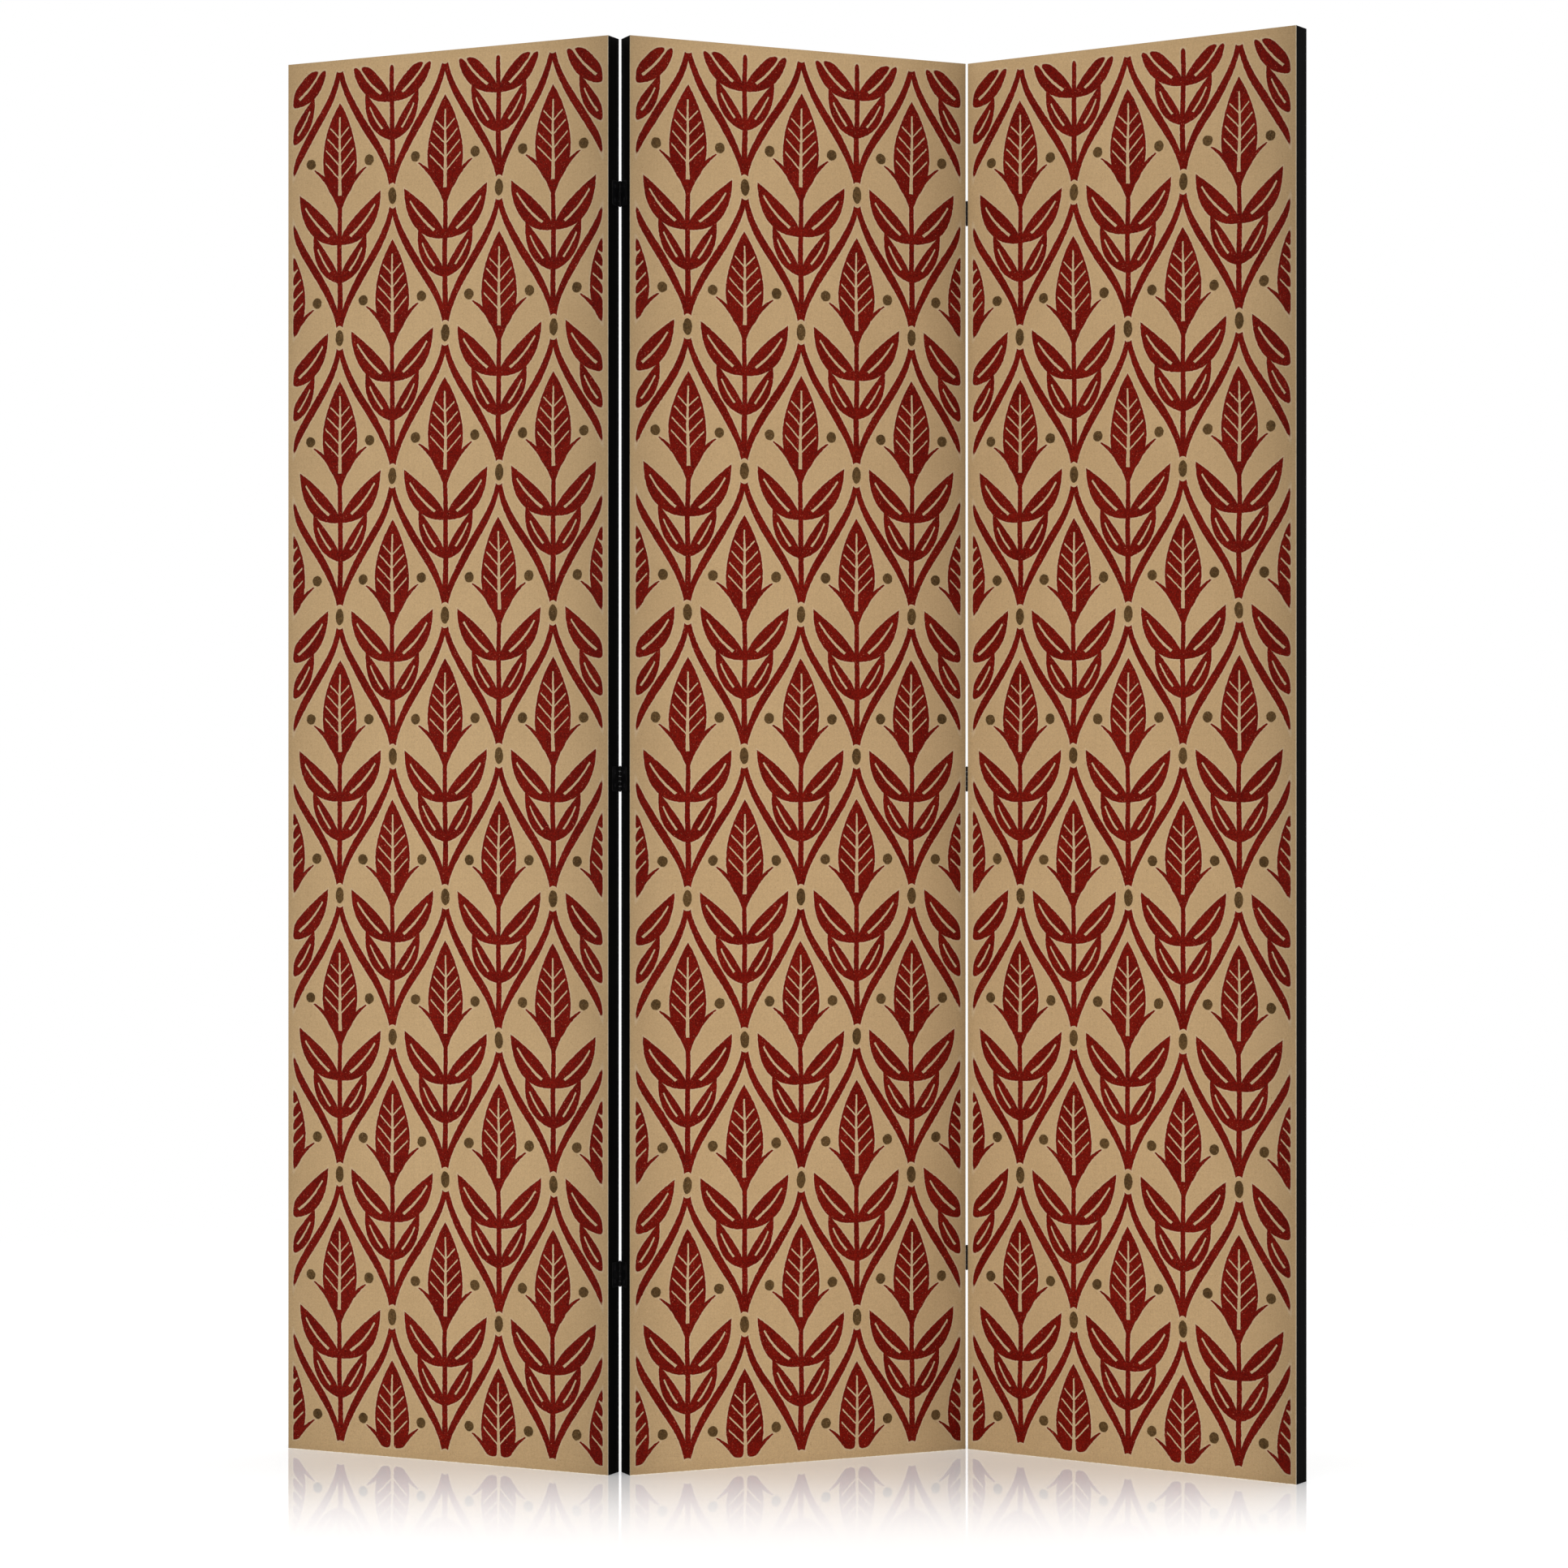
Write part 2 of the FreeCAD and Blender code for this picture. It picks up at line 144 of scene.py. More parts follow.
def noise(tree, vector, scale, detail=2.0, roughness=0.5):
    node = tree.nodes.new("ShaderNodeTexNoise")
    plug(tree, node.inputs["Vector"], vector)
    plug(tree, node.inputs["Scale"], scale)
    plug(tree, node.inputs["Detail"], detail)
    plug(tree, node.inputs["Roughness"], roughness)
    return node


def noiseValue(tree, vector, scale, detail=2.0, roughness=0.5):
    return Wire(tree, noise(tree, vector, scale, detail, roughness).outputs[0])


def mapped(tree, vector, turn=(0, 0, 0), scale=(1, 1, 1)):
    node = tree.nodes.new("ShaderNodeMapping")
    plug(tree, node.inputs["Vector"], vector)
    plug(tree, node.inputs["Rotation"], turn)
    plug(tree, node.inputs["Scale"], scale)
    return node.outputs["Vector"]


def split(tree, vector):
    node = tree.nodes.new("ShaderNodeSeparateXYZ")
    plug(tree, node.inputs[0], vector)
    return [Wire(tree, out) for out in node.outputs]


def mixColour(tree, share, first, second, how="MIX"):
    node = tree.nodes.new("ShaderNodeMix")
    node.data_type = "RGBA"
    node.blend_type = how
    plug(tree, node.inputs[0], share)
    plug(tree, node.inputs[6], first)
    plug(tree, node.inputs[7], second)
    return node.outputs[2]


def toned(tree, colour, tone):
    # the colour, lighter or darker by a factor
    grey = tree.nodes.new("ShaderNodeCombineColor")
    for socket in grey.inputs[:3]:
        plug(tree, socket, tone)
    return mixColour(tree, 1.0, colour, grey.outputs[0], "MULTIPLY")


def newMaterial(name, specular):
    material = bpy.data.materials.new(name)
    material.use_nodes = True
    tree = material.node_tree
    shader = tree.nodes["Principled BSDF"]
    shader.inputs["Specular IOR Level"].default_value = specular
    coords = tree.nodes.new("ShaderNodeTexCoord")
    return material, tree, shader, coords


def addBump(tree, shader, height, strength, distance):
    node = tree.nodes.new("ShaderNodeBump")
    plug(tree, node.inputs["Height"], height)
    plug(tree, node.inputs["Strength"], strength)
    plug(tree, node.inputs["Distance"], distance)
    plug(tree, shader.inputs["Normal"], node.outputs["Normal"])


# shared effects, each built once

speckleLook = {"start": 0.76, "perCover": -0.9, "soft": 0.07}  # noise level at which a speck begins


def buildSpeckle():
    # small specks; Cover is the share of the surface that they take, about
    tree, wires, leave = newGroup("speckle", ["Vector", "Scale", "Cover"], ["Mask", "Other"])
    grain = noiseValue(tree, wires["Vector"], wires["Scale"], detail=1.0, roughness=0.6)
    start = wires["Cover"] * speckleLook["perCover"] + speckleLook["start"]
    full = start + speckleLook["soft"]
    plug(tree, leave.inputs["Mask"], grain.step(start, full))
    plug(tree, leave.inputs["Other"], (1.0 - grain).step(start, full))  # a second set, elsewhere
    return tree


weaveLook = {
    "dip": 0.4,  # how far a thread sinks where it passes under
    "dice": (0.37, 0.41, 900.0),  # number of a thread: step of the warp, step and start of the weft
}


def buildWeave():
    # plain weave, from lengths in millimetres
    tree, wires, leave = newGroup("clothWeave", ["Across", "Up", "Pitch"], ["Height", "Thread"])
    warp = wires["Across"] / wires["Pitch"]
    weft = wires["Up"] / wires["Pitch"]
    warpRow = warp.use("FLOOR")
    weftRow = weft.use("FLOOR")
    over = (warpRow + weftRow).use("PINGPONG", 1.0)
    warpRound = (warp.use("FRACT") * math.pi).use("SINE")
    weftRound = (weft.use("FRACT") * math.pi).use("SINE")
    dip = weaveLook["dip"]
    top = warpRound * (weftRound * dip + (1 - dip))
    under = weftRound * (warpRound * dip + (1 - dip))
    plug(tree, leave.inputs["Height"], under.mix(top, over))
    # each thread is a little lighter or darker than the next
    warpStep, weftStep, weftStart = weaveLook["dice"]
    number = (warpRow * warpStep).mix(weftRow * weftStep + weftStart, 1.0 - over)
    dice = tree.nodes.new("ShaderNodeTexWhiteNoise")
    dice.noise_dimensions = "1D"
    plug(tree, dice.inputs["W"], number)
    plug(tree, leave.inputs["Thread"], dice.outputs["Value"])
    return tree


timberLook = {
    "stretch": (0.06, 0.03, 0.02),  # scale of rings, fibres and pores along the grain
    "drift": (24.0, 5.0),  # wander of the rings: noise scale, strength
    "heart": (0.11, 0.07),  # metres to the heart of the tree
    "fibre": 520.0,  # noise scale
    "pore": (1500.0, 0.62, 0.7),  # noise scale, and the level at which a pore begins and is full
    "streak": (0.55, 0.45),  # shares of rings and fibres
    "relief": (0.7, 0.6),  # how far streaks rise and pores sink
}


def buildGrain():
    # timber with its grain along Z of the vector, in metres
    tree, wires, leave = newGroup("timberGrain", ["Vector", "Rings"], ["Streak", "Pore", "Height"])
    rings, fibres, pores = [
        mapped(tree, wires["Vector"], scale=(1, 1, stretch)) for stretch in timberLook["stretch"]
    ]
    scale, strength = timberLook["drift"]
    drift = noiseValue(tree, rings, scale, detail=3.0, roughness=0.55) * strength
    x, y = split(tree, rings)[:2]
    heartX, heartY = timberLook["heart"]
    ring = length2(x + heartX, y + heartY) * wires["Rings"] + drift
    band = (ring * math.tau).use("SINE") * 0.5 + 0.5
    fibre = noiseValue(tree, fibres, timberLook["fibre"], detail=3.0, roughness=0.6)
    scale, start, full = timberLook["pore"]
    pore = noiseValue(tree, pores, scale, detail=1.0).step(start, full)
    ringShare, fibreShare = timberLook["streak"]
    streak = band * ringShare + fibre * fibreShare
    rise, sink = timberLook["relief"]
    plug(tree, leave.inputs["Streak"], streak)
    plug(tree, leave.inputs["Pore"], pore)
    plug(tree, leave.inputs["Height"], streak * rise - pore * sink)
    return tree


rubLook = {
    "bend": (0.02, 0.25),  # bend of the surface at which rubbing begins and is full
    "patch": (60.0, 0.42, 0.68),  # noise scale, and the level at which a patch begins and is full
    "samples": 4,
}


def buildEdgeRub():
    # paint rubbed thin on the outer edges of a piece
    tree, wires, leave = newGroup("edgeRub", ["Vector", "Radius", "Amount"], ["Mask"])
    rounded = tree.nodes.new("ShaderNodeBevel")
    rounded.samples = rubLook["samples"]
    plug(tree, rounded.inputs["Radius"], wires["Radius"])
    flat = tree.nodes.new("ShaderNodeNewGeometry")
    dot = tree.nodes.new("ShaderNodeVectorMath")
    dot.operation = "DOT_PRODUCT"
    plug(tree, dot.inputs[0], rounded.outputs[0])
    plug(tree, dot.inputs[1], flat.outputs["Normal"])
    bend = (1.0 - Wire(tree, dot.outputs["Value"])).step(*rubLook["bend"])
    scale, start, full = rubLook["patch"]
    patch = noiseValue(tree, wires["Vector"], scale, detail=4.0, roughness=0.65).step(start, full)
    plug(tree, leave.inputs["Mask"], bend * patch * wires["Amount"])
    return tree


speckle = buildSpeckle()
clothWeave = buildWeave()
timberGrain = buildGrain()
edgeRub = buildEdgeRub()
print("shared effects built")


# the print: leaf sprigs in a half-drop net of pointed ovals, lengths in millimetres

printLay = {
    "pitch": 150.0,  # three ovals across a panel
    "rise": 344.0,  # five up
    "start": 172.0,  # the foot of the panel is at the tips of the first ovals
    "band": (3.3, 1.9),  # net line, half width and how much it swells
    "topLeaf": {"base": (0, -5), "tip": (0, 118), "width": 48, "lean": 0.30, "bow": 0, "soft": 1.6},
    "sideLeaf": {"base": (0, -56), "tip": (58, 6), "width": 28, "lean": 0.18, "bow": 6.7, "soft": 1.6},
    "lowLeaf": {"base": (0, -104), "tip": (38, -45), "width": 20, "lean": 0.18, "bow": 4.7, "soft": 1.6},
    "stalk": {"base": (0, -19), "tip": (41, 40), "width": 6.0, "lean": 0, "bow": -8, "soft": 0.5},
    "topRib": (1.6, 0.9, -0.06, 0.80),  # half width, taper, middle, reach as shares of the leaf
    "sideRib": (1.35, 0.5, 0.02, 0.62),
    "lowRib": (1.1, 0.4, 0.05, 0.50),
    "vein": (16.7, 1.1, 3.2, 1.4),  # spacing, half width, bare rim, shift along the leaf
    "veinPairs": 4,
    "stem": (3.0, 0.006, -83, 81),  # half width, taper, middle height, half length
    "berry": (42, 45.5, 6.5, 2.7),  # place, radius, bare ring round it
    "seed": (10.2, 15.3, 1.75),  # half height, the same with its bare ring, slimness
}


def buildLeafShape():
    # distance to a pointed oval, negative inside, and the place along and across it
    tree, w, leave = newGroup(
        "leafShape",
        ["X", "Y", "MidX", "MidY", "Cosine", "Sine", "HalfLength", "Bow", "Lean", "Radius", "Reach", "Soft"],
        ["Distance", "Along", "Across"],
    )
    dx = w["X"] - w["MidX"]
    dy = w["Y"] - w["MidY"]
    u = dx * w["Cosine"] + dy * w["Sine"]
    along = u / w["HalfLength"]
    v = dy * w["Cosine"] - dx * w["Sine"] + w["Bow"] * (1.0 - along * along)
    side = abs(v) * (along * w["Lean"] + 1.0) + w["Reach"]
    plug(tree, leave.inputs["Distance"], length2(u, side) - w["Radius"] - w["Soft"])
    plug(tree, leave.inputs["Along"], along)
    plug(tree, leave.inputs["Across"], v)
    return tree


leafShape = buildLeafShape()


def drawLeaf(tree, x, y, size):
    (baseX, baseY), (tipX, tipY) = size["base"], size["tip"]
    turn = math.atan2(tipY - baseY, tipX - baseX)
    halfLength = math.hypot(tipX - baseX, tipY - baseY) / 2 - size["soft"]
    halfWidth = size["width"] / 2 - size["soft"]
    radius = (halfLength ** 2 + halfWidth ** 2) / (2 * halfWidth)
    leaf = place(
        tree, leafShape, X=x, Y=y,
        MidX=(baseX + tipX) / 2, MidY=(baseY + tipY) / 2,
        Cosine=math.cos(turn), Sine=math.sin(turn),
        HalfLength=halfLength, Bow=size["bow"], Lean=size["lean"],
        Radius=radius, Reach=radius - halfWidth, Soft=size["soft"],
    )
    return leaf["Distance"], leaf["Along"], leaf["Across"], halfLength


def ribOf(along, across, halfLength, size):
    # the bare line down the middle of a leaf
    width, taper, middle, reach = size
    return (abs(across) + along * taper - width).high((abs(along - middle) - reach) * halfLength)


def buildSprigPrint():
    tree, wires, leave = newGroup("sprigPrint", ["Across", "Up"], ["Red", "Olive"])
    pitch, rise = printLay["pitch"], printLay["rise"]
    turn = math.tau / rise
    oneX = (wires["Across"] - pitch / 2).wrap(pitch)
    up = wires["Up"] + printLay["start"]
    oneY = up.wrap(rise)
    swing = oneY * turn
    halfOval = swing.use("COSINE") * (pitch / 4) + pitch / 4
    slope = swing.use("SINE") * (pitch / 4 * turn)
    edge = (abs(oneX) - halfOval) / (slope * slope + 1.0).use("SQRT")
    # outside the first set of ovals lies the second, half a step along and up
    second = edge.use("GREATER_THAN", 0.0)
    x = abs(oneX.mix(wires["Across"].wrap(pitch), second))
    y = oneY.mix((up - rise / 2).wrap(rise), second)

    thin, swell = printLay["band"]
    band = abs(edge) - (0.5 - (y * (2 * turn)).use("COSINE") * 0.5) * swell - thin
    # top leaf with its pairs of veins
    top, along, across, half = drawLeaf(tree, x, y, printLay["topLeaf"])
    rib = ribOf(along, across, half, printLay["topRib"])
    gap, veinHalf, bareRim, shift = printLay["vein"]
    slant = along * half - abs(across) - shift
    allPairs = abs(slant + gap * 0.5) - gap * (printLay["veinPairs"] / 2)
    vein = (abs(slant.wrap(gap)) - veinHalf).high(top + bareRim).high(allPairs)
    red = band.low(top.high(rib.low(vein) * -1.0))
    # a pair of leaves at the sides and a pair below
    for leafName, ribName in (("sideLeaf", "sideRib"), ("lowLeaf", "lowRib")):
        leaf, along, across, half = drawLeaf(tree, x, y, printLay[leafName])
        rib = ribOf(along, across, half, printLay[ribName])
        red = red.low(leaf.high(rib * -1.0))
    # stem and berry stalks
    stemWide, stemTaper, stemMid, stemLong = printLay["stem"]
    stem = (x + y * stemTaper - stemWide).high(abs(y - stemMid) - stemLong)
    stalk = drawLeaf(tree, x, y, printLay["stalk"])[0]
    red = red.low(stem).low(stalk)
    # berries, and a seed where the ovals meet, each with a bare ring
    berryX, berryY, berryRadius, berryRing = printLay["berry"]
    berry = length2(x - berryX, y - berryY) - berryRadius
    seedHalf, seedRing, slim = printLay["seed"]
    atTip = length2(x * slim, abs(y) - rise / 2)
    atSide = length2((x - pitch / 2) * slim, y)
    seed = atTip.low(atSide)
    red = red.high(seedRing - seed).high(berryRing - berry)
    plug(tree, leave.inputs["Red"], red)
    plug(tree, leave.inputs["Olive"], berry.low(seed - seedHalf))
    return tree


sprigPrint = buildSprigPrint()
print("print drawn")


# cloth materials, lengths on the cloth in millimetres

panelWide, panelTall = 450.0, 1720.0
clothLook = {
    "ground": tint(184, 155, 115), "groundDeep": tint(175, 146, 106), "fleck": tint(142, 112, 76),
    "red": tint(108, 17, 7), "redDeep": tint(92, 9, 3), "redFleck": tint(160, 84, 64),
    "olive": tint(88, 66, 38), "oliveDeep": tint(76, 56, 31), "bare": tint(226, 214, 192),
    "specular": 0.06,
    "threadPitch": 1.15,
    "thread": 0.05,  # how much one thread differs in tone from the next
    "ragged": ((260.0, 0.35), (17.0, 0.8)),  # ink edge, fine and slow: noise scale, size
    "inkEdge": 0.4,  # how soft it is
    "border": (7.0, 11.0),  # plain ground at the sides, and above and below
    "corner": 9.0,  # over which a motif is rounded off there
    "margin": {"wide": 0.6, "full": 0.36, "fray": 0.9, "atRight": 0.35},  # paler line along the cut
    "cloud": (11.0, 0.45),  # noise scale, share
    "flecks": (560.0, 0.10, 0.5),  # noise scale, cover, share
    "halo": (2.2, 0.6, 0.16),  # outside the ink: where it begins and is full, share
    "pool": (30.0, 0.7),  # thicker ink: noise scale, share
    "rim": (-1.6, -0.4, 0.55),  # inside the ink: where it begins and is full, share
    "thin": (0.8, 0.3),  # share of the pale specks in the red and in the olive
    # painted shade: how much darker the cloth is painted at the left and right edge of each panel, and the
    # length over which that fades
    "paintedEdgeShade": {"left_panel": (0.18, 0.34), "centre_panel": (0.28, 0.37), "right_panel": (0.06, 0.39)},
    "fade": (45.0, 65.0),
    "grain": (480.0, 0.5, 1.8),  # noise scale, strength on the ground, how much more on ink
    "roughness": (0.88, 0.12, 0.14),  # ground, less on ink, change with the grain
    "bump": (0.7, 0.25, 0.35, 0.00012),  # weave, grain, strength, metres
}


def clothPlace(tree, coords):
    return split(tree, mapped(tree, coords.outputs["UV"], scale=(panelWide, panelTall, 1)))[:2]


def inkMasks(tree, coords, across, up):
    # the ink runs a little into the cloth, so its edges aren't quite true
    (fineScale, fine), (slowScale, slow) = clothLook["ragged"]
    spot = coords.outputs["Object"]
    small = split(tree, noise(tree, spot, fineScale, detail=1.0, roughness=0.6).outputs["Color"])
    large = split(tree, noise(tree, spot, slowScale, detail=0.0).outputs["Color"])
    inked = place(
        tree, sprigPrint,
        Across=across + (small[0] - 0.5) * (4 * fine) + (large[0] - 0.5) * (4 * slow),
        Up=up + (small[1] - 0.5) * (4 * fine) + (large[1] - 0.5) * (4 * slow),
    )
    # the motifs stop short of the edges of the cloth, with their corners rounded off
    beside, above = clothLook["border"]
    clear = (beside - across.low(panelWide - across)).high(above - up.low(panelTall - up))
    clear = clear - (small[0] - 0.5) * (2 * fine)
    red = inked["Red"].use("SMOOTH_MAX", clear, clothLook["corner"])
    return red, inked["Olive"].high(clear), small[2] - 0.5


def makePrintedCloth(panel):
    material, tree, shader, coords = newMaterial(panel + "_printedCloth", clothLook["specular"])
    spot = coords.outputs["Object"]
    across, up = clothPlace(tree, coords)
    red, olive, shaky = inkMasks(tree, coords, across, up)
    weave = place(tree, clothWeave, Across=across, Up=up, Pitch=clothLook["threadPitch"])
    # ground: soft clouds and dark flecks
    scale, share = clothLook["cloud"]
    cloud = noiseValue(tree, spot, scale, detail=2.0, roughness=0.6).step(0.3, 0.7)
    ground = mixColour(tree, cloud * share, clothLook["ground"], clothLook["groundDeep"])
    scale, cover, share = clothLook["flecks"]
    flecks = place(tree, speckle, Vector=spot, Scale=scale, Cover=cover)
    ground = mixColour(tree, flecks["Mask"] * share, ground, clothLook["fleck"])
    # a paler line stays round the ink
    start, full, share = clothLook["halo"]
    ground = mixColour(tree, red.step(start, full) * share, ground, clothLook["bare"])
    # inks, thin in specks and thicker at their rims
    scale, poolShare = clothLook["pool"]
    pool = noiseValue(tree, spot, scale, detail=2.0, roughness=0.6).step(0.35, 0.7)
    start, full, rimShare = clothLook["rim"]
    thick = (pool * poolShare).high(red.step(start, full) * rimShare)
    thinRed, thinOlive = clothLook["thin"]
    redInk = mixColour(tree, thick, clothLook["red"], clothLook["redDeep"])
    redInk = mixColour(tree, flecks["Other"] * thinRed, redInk, clothLook["redFleck"])
    oliveInk = mixColour(tree, pool, clothLook["olive"], clothLook["oliveDeep"])
    oliveInk = mixColour(tree, flecks["Other"] * thinOlive, oliveInk, clothLook["ground"])
    soft = clothLook["inkEdge"]
    redMask = red.step(soft, -soft)
    oliveMask = olive.step(soft, -soft)
    colour = mixColour(tree, redMask, ground, redInk)
    colour = mixColour(tree, oliveMask, colour, oliveInk)
    # painted shade: the cloth is painted darker towards its left and right edges, by a set amount for each
    # panel
    (leftPaintedShade, rightPaintedShade), (leftFade, rightFade) = clothLook["paintedEdgeShade"][panel], clothLook["fade"]
    paintedEdgeShade = (across / -leftFade).use("EXPONENT") * leftPaintedShade
    paintedEdgeShade = paintedEdgeShade + ((across - panelWide) / rightFade).use("EXPONENT") * rightPaintedShade
    # fine grain, stronger in the ink, and uneven threads
    ink = redMask.high(oliveMask)
    scale, onGround, onInk = clothLook["grain"]
    grain = noiseValue(tree, spot, scale, detail=2.0, roughness=0.75) - 0.5
    threads = weave["Thread"] * clothLook["thread"] + (1 - clothLook["thread"] / 2)
    # the tone carries the painted edge shade, with the grain and the uneven threads
    tone = (1.0 - paintedEdgeShade) * (grain * (ink * onInk + onGround) + 1.0) * threads
    colour = toned(tree, colour, tone)
    # paler line along the cut, fainter at the right than below
    margin = clothLook["margin"]
    fray = shaky * margin["fray"]
    below = (up + fray).step(margin["wide"], margin["full"])
    beside = (panelWide - across + fray).step(margin["wide"], margin["full"]) * margin["atRight"]
    colour = mixColour(tree, below.high(beside), colour, clothLook["bare"])
    plug(tree, shader.inputs["Base Color"], colour)
    rough, inkLess, grainChange = clothLook["roughness"]
    plug(tree, shader.inputs["Roughness"], rough - ink * inkLess + grain * grainChange)
    weaveHeight, grainHeight, strength, distance = clothLook["bump"]
    height = weave["Height"] * weaveHeight + grain * grainHeight
    addBump(tree, shader, height, strength, distance)
    return material


backLook = {
    "cloth": tint(205, 189, 158), "clothDeep": tint(186, 168, 135),
    "redGhost": tint(142, 88, 74), "oliveGhost": tint(96, 84, 62),
    "specular": 0.15,
    "cloud": 13.0,  # noise scale
    "slub": (260.0, 0.14, 0.2, 0.4),  # noise scale, cover, stretch upwards, share
    "ghost": (1.2, 0.20, 0.16),  # blur of the print that shows through, share of red and of olive
    "shade": (0.16, 0.10, 0.82),  # painted shade in the low points of the weave, the threads' own change in tone, and what is left without
    "roughness": (0.96, 0.08),  # low in the weave, less on top
    "bump": (0.3, 0.5, 0.0002),  # slubs, strength, metres
}


def makeClothBack():
    material, tree, shader, coords = newMaterial("clothBack", backLook["specular"])
    spot = coords.outputs["Object"]
    across, up = clothPlace(tree, coords)
    red, olive = inkMasks(tree, coords, across, up)[:2]
    weave = place(tree, clothWeave, Across=across, Up=up, Pitch=clothLook["threadPitch"])
    cloud = noiseValue(tree, spot, backLook["cloud"], detail=4.0, roughness=0.6).step(0.3, 0.7)
    scale, cover, stretch, share = backLook["slub"]
    slub = mapped(tree, spot, scale=(1, 1, stretch))
    slub = place(tree, speckle, Vector=slub, Scale=scale, Cover=cover)["Mask"]
    colour = mixColour(tree, cloud, backLook["cloth"], backLook["clothDeep"])
    colour = mixColour(tree, slub * share, colour, clothLook["bare"])
    # the print shows faintly through
    blur, redShare, oliveShare = backLook["ghost"]
    colour = mixColour(tree, red.step(blur, -blur) * redShare, colour, backLook["redGhost"])
    colour = mixColour(tree, olive.step(blur, -blur) * oliveShare, colour, backLook["oliveGhost"])
    # painted shade darkens the cloth where the weave sinks; each thread also has its own tone
    paintedWeaveShade, threadShade, base = backLook["shade"]
    shade = weave["Height"] * paintedWeaveShade + weave["Thread"] * threadShade + base
    plug(tree, shader.inputs["Base Color"], toned(tree, colour, shade))
    rough, topLess = backLook["roughness"]
    plug(tree, shader.inputs["Roughness"], rough - weave["Height"] * topLess)
    slubHeight, strength, distance = backLook["bump"]
    addBump(tree, shader, weave["Height"] + slub * slubHeight, strength, distance)
    return material


cutLook = {
    "specular": 0.15,
    "fibre": 1400.0,  # noise scale
    "soil": (40.0, 0.6),  # noise scale, share
    "shade": (0.4, 0.78),  # change with the fibres, and what is left without
    "roughness": (0.98, 0.12),
    "bump": (0.5, 0.0002),  # strength, metres
}


def makeCutEdge():
    material, tree, shader, coords = newMaterial("clothCutEdge", cutLook["specular"])
    spot = coords.outputs["Object"]
    fibre = noiseValue(tree, spot, cutLook["fibre"], detail=2.0, roughness=0.7)
    scale, share = cutLook["soil"]
    soil = noiseValue(tree, spot, scale, detail=3.0, roughness=0.6).step(0.4, 0.7)
    colour = mixColour(tree, soil * share, clothLook["bare"], backLook["clothDeep"])
    fibreShade, base = cutLook["shade"]
    plug(tree, shader.inputs["Base Color"], toned(tree, colour, fibre * fibreShade + base))
    rough, fibreLess = cutLook["roughness"]
    plug(tree, shader.inputs["Roughness"], rough - fibre * fibreLess)
    addBump(tree, shader, fibre, *cutLook["bump"])
    return material


clothBack, clothCut = makeClothBack(), makeCutEdge()
print("cloth materials made")


# three canvases, each glued flat on its frame and slightly slack between the bars, in metres

canvasCut = {
    "wide": panelWide / 1000, "tall": panelTall / 1000, "thick": 0.0006,
    "cells": (36, 132),
    "bar": 0.038,  # width of the bars it is glued to
    "slack": 0.0009,  # how far it dips in the middle
    "slackShape": (1.3, 0.6),  # how the dip tapers off across and up
    "ripple": (0.00012, 41.0, 9.0, 6.5, 2.0),  # size, waves across and up, slow wave up and its start
    "edgeRound": 0.00014, "roundOver": 60, "smoothUnder": 35,  # degrees
}
panelTurn = {"left_panel": -25.5, "centre_panel": 24.5, "right_panel": -33.5}  # degrees about Z


def panelAxes(panel):
    # bottom left front corner of a panel, and its directions along and to the rear
    turn = math.radians(panelTurn[panel])
    along = Vector((math.cos(turn), math.sin(turn), 0))
    rear = Vector((-math.sin(turn), math.cos(turn), 0))
    points = [v.co for v in cadNodes[panel + "_canvas"].data.vertices]
    corner = along * min(p.dot(along) for p in points)
    corner += rear * min(p.dot(rear) for p in points)
    corner.z = min(p.z for p in points)
    return corner, along, rear


def dipAt(x, z):
    # 0 on the glued bars, full in the middle of the open field
    bar = canvasCut["bar"]
    s = min(max((x - bar) / (canvasCut["wide"] - 2 * bar), 0), 1)
    t = min(max((z - bar) / (canvasCut["tall"] - 2 * bar), 0), 1)
    taperX, taperZ = canvasCut["slackShape"]
    loose = math.sin(math.pi * s) ** taperX * math.sin(math.pi * t) ** taperZ
    ripple, waveX, waveZ, slowZ, slowStart = canvasCut["ripple"]
    wave = math.sin(waveX * x + waveZ * z) * math.sin(slowZ * z + slowStart)
    return loose * (canvasCut["slack"] + wave * ripple)


def layCanvas(panel):
    corner, along, rear = panelAxes(panel)
    wide, tall = canvasCut["wide"], canvasCut["tall"]
    bpy.ops.object.select_all(action="DESELECT")
    bpy.ops.mesh.primitive_grid_add(
        x_subdivisions=canvasCut["cells"][0], y_subdivisions=canvasCut["cells"][1], size=1.0,
        location=corner + along * (wide / 2) + Vector((0, 0, tall / 2)),
        rotation=(math.pi / 2, 0, math.radians(panelTurn[panel])),
    )
    piece = bpy.context.active_object
    piece.name = panel + "_print"
    piece.data.name = piece.name
    piece.scale = (wide, tall, 1)
    bpy.ops.object.transform_apply(location=True, rotation=True, scale=True)
    for vertex in piece.data.vertices:
        x = (vertex.co - corner).dot(along)
        z = vertex.co.z - corner.z
        vertex.co += rear * dipAt(x, z)
    for side in (makePrintedCloth(panel), clothBack, clothCut):
        piece.data.materials.append(side)
    shell = piece.modifiers.new("clothThickness", "SOLIDIFY")
    shell.thickness = canvasCut["thick"]
    shell.offset = -1.0
    shell.material_offset = 1
    shell.material_offset_rim = 2
    bpy.ops.object.modifier_apply(modifier=shell.name)
    soften = piece.modifiers.new("cutEdge", "BEVEL")
    soften.width = canvasCut["edgeRound"]
    soften.segments = 2
    soften.limit_method = "ANGLE"
    soften.angle_limit = math.radians(canvasCut["roundOver"])
    bpy.ops.object.modifier_apply(modifier=soften.name)
    bpy.ops.object.shade_smooth_by_angle(angle=math.radians(canvasCut["smoothUnder"]))
    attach(piece, panel)
    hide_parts(panel + "_canvas")


for panel in panelTurn:
    layCanvas(panel)
print("canvases laid")


# black-stained timber for the bars

